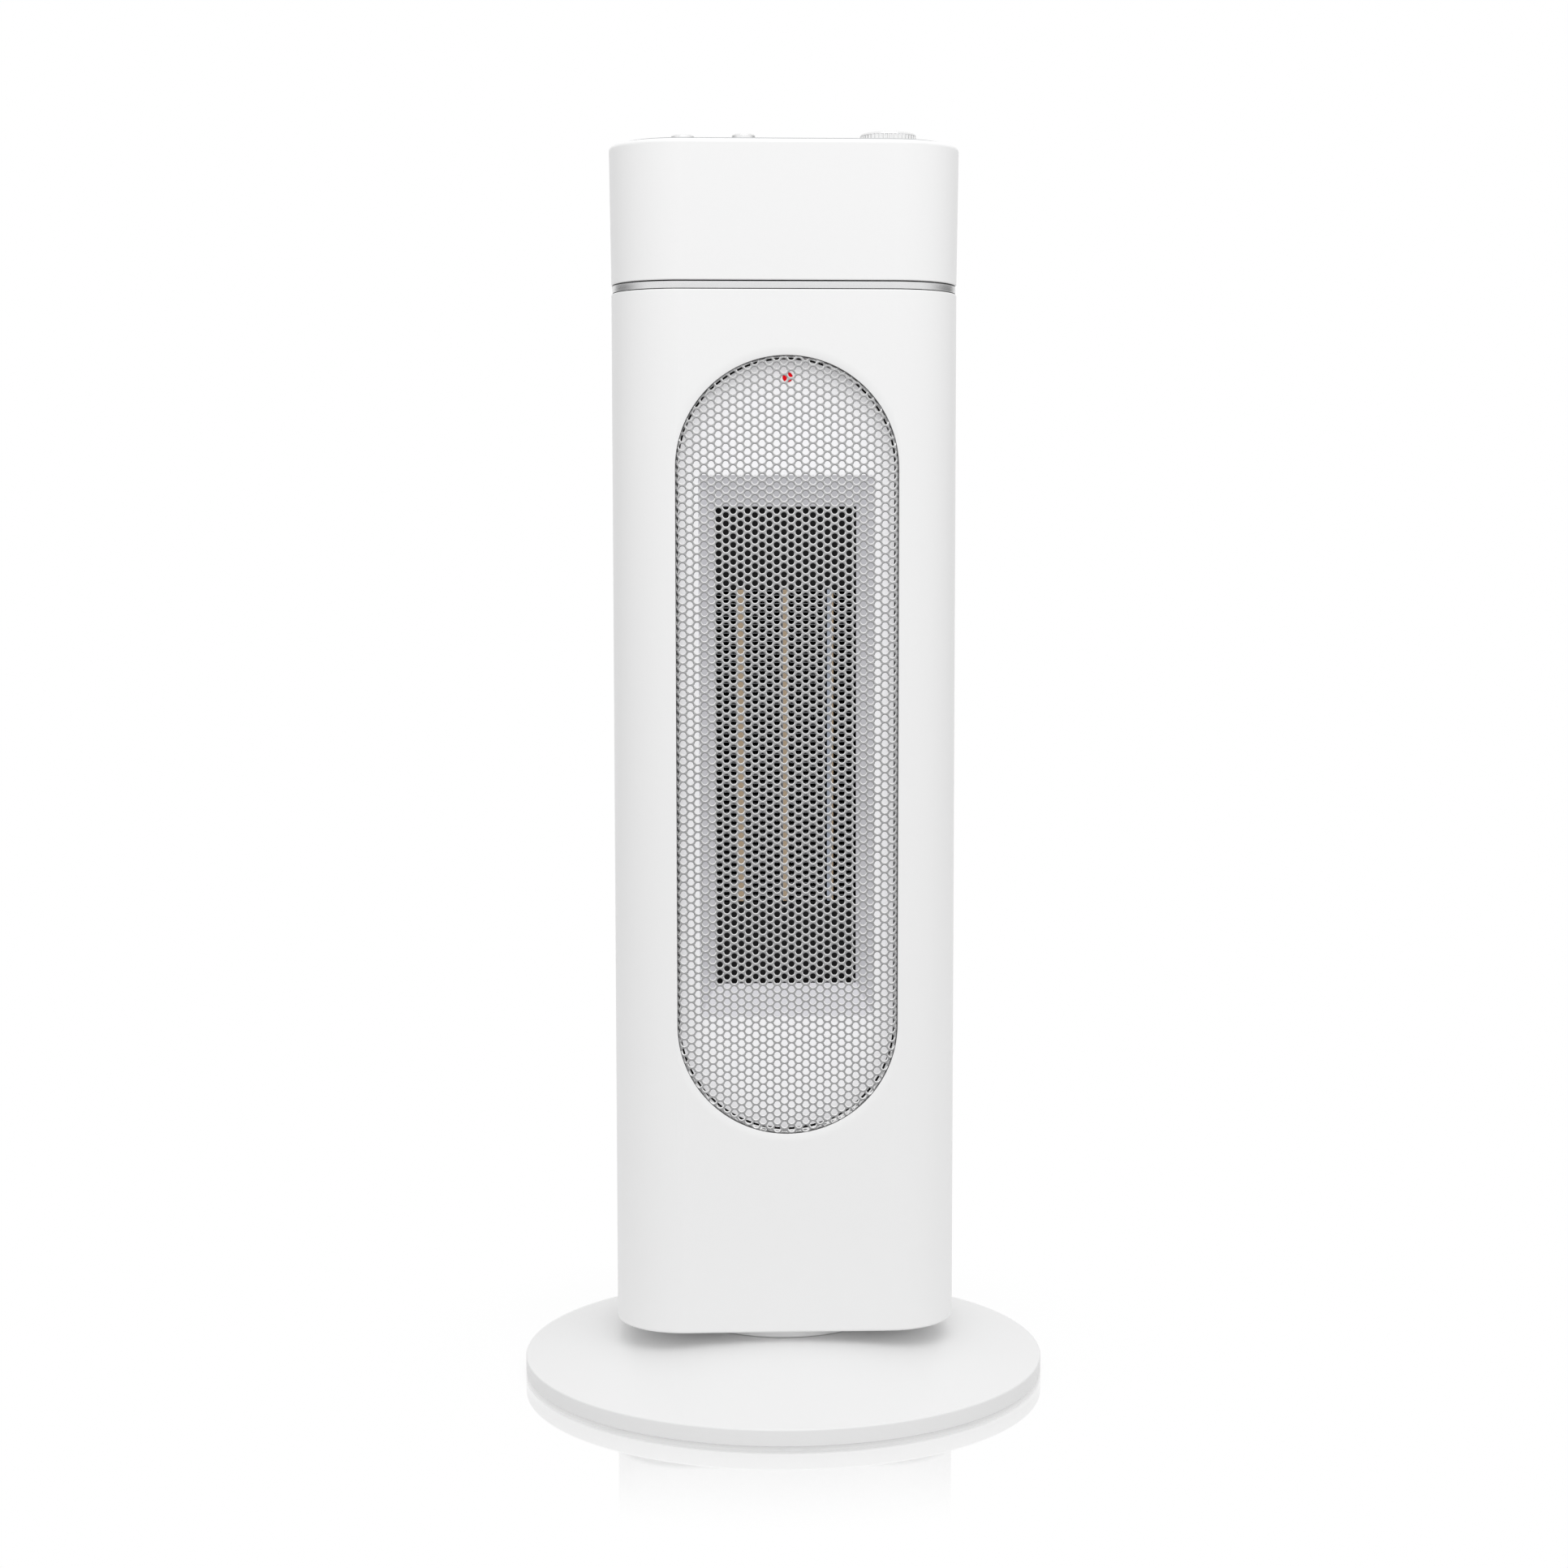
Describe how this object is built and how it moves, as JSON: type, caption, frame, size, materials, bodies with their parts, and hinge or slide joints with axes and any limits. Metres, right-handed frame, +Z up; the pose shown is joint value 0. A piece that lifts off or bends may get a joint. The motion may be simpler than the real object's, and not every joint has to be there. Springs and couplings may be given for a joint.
{
  "type": "tower heater",
  "caption": "Upright ceramic fan heater: a swinging white tower with a perforated outlet grille, silver controls on top and a round domed base.",
  "frame": {"origin": "on the floor under the swivel axis, at the centre of the round base", "axes": "+Z up along the swivel axis, the outlet grille faces -Y, the thermostat knob is on the +X side"},
  "size_m": [0.256, 0.256, 0.6054],
  "materials": {
    "white_plastic": "satin moulded white",
    "grey_plastic": "matt light grey",
    "black_plastic": "matt black",
    "dark_plastic": "matt dark grey",
    "white_nylon": "natural nylon",
    "silver_trim": "metallised silver",
    "grille_paint": "light grey paint, satin",
    "steel": "plain steel",
    "aluminium_fins": "plain folded sheet",
    "ceramic_bars": "matt ceramic in aluminium",
    "sintered_bronze": "sintered, oiled",
    "rubber": "light grey rubber",
    "red_lens": "clear red lens"
  },
  "bodies": {
    "base": {"base_cover": "white_plastic", "base_pan": "grey_plastic", "base_weight": "steel", "base_screw_1": "steel", "base_screw_2": "steel", "base_screw_3": "steel", "base_screw_4": "steel", "foot_1": "rubber", "foot_2": "rubber", "foot_3": "rubber", "foot_4": "rubber", "foot_5": "rubber", "foot_6": "rubber", "foot_7": "rubber", "foot_8": "rubber", "turntable_disc": "grey_plastic"},
    "tower": {"bottom_plate": "grey_plastic", "swivel_washer": "white_nylon", "swivel_retainer": "steel", "swing_motor": "steel", "tip_switch": "black_plastic", "front_housing": "white_plastic", "rear_housing": "white_plastic", "inlet_gland": "black_plastic", "trim_band": "silver_trim", "head_shell": "white_plastic", "control_panel": "silver_trim", "control_carrier": "steel", "thermostat_body": "black_plastic", "button_switch_1": "white_nylon", "button_switch_2": "white_nylon", "outlet_grille": "grille_paint", "outlet_bezel": "white_plastic", "indicator_lamp": "red_lens", "lamp_holder": "grey_plastic", "heater_frame": "black_plastic", "heater_bar_1": "ceramic_bars", "heater_bar_2": "ceramic_bars", "heater_bar_3": "ceramic_bars", "heater_fins_1": "aluminium_fins", "heater_fins_2": "aluminium_fins", "heater_fins_3": "aluminium_fins", "heater_fins_4": "aluminium_fins", "thermal_cutout": "steel", "blower_scroll": "black_plastic", "blower_tongue": "black_plastic", "blower_end_bottom": "black_plastic", "blower_end_top": "black_plastic", "fan_motor": "steel", "fan_bearing": "sintered_bronze"},
    "knob": {"thermostat_knob": "silver_trim", "thermostat_shaft": "steel"},
    "button_1": {"push_button_1": "silver_trim"},
    "button_2": {"push_button_2": "silver_trim"},
    "fan": {"fan_impeller": "dark_plastic", "fan_shaft": "steel"},
    "crank": {"swing_crank": "white_nylon"}
  },
  "joints": [
    {"name": "tower_swing", "type": "hinge", "parent": "base", "child": "tower", "pos_m": [0, 0, 0.0322], "axis": [0, 0, 1], "range_deg": [-35, 35]},
    {"name": "crank_turn", "type": "hinge", "parent": "tower", "child": "crank", "pos_m": [0, 0.022, 0.029], "axis": [0, 0, 1], "range_deg": [-105, 105]},
    {"name": "thermostat_turn", "type": "hinge", "parent": "tower", "child": "knob", "pos_m": [0.051, 0, 0.5966], "axis": [0, 0, 1], "range_deg": [-270, 0]},
    {"name": "button_1_press", "type": "slide", "parent": "tower", "child": "button_1", "axis": [0, 0, -1], "range_m": [0, 0.003], "stiffness_N_per_m": 400, "springref_m": -0.001},
    {"name": "button_2_press", "type": "slide", "parent": "tower", "child": "button_2", "axis": [0, 0, -1], "range_m": [0, 0.003], "stiffness_N_per_m": 400, "springref_m": -0.001},
    {"name": "fan_spin", "type": "hinge", "parent": "tower", "child": "fan", "pos_m": [0.004, 0.014, 0.313], "axis": [0, 0, 1], "continuous": true}
  ],
  "couplings": [
    {"joint": "crank_turn", "follows": "tower_swing", "ratio": -3}
  ]
}
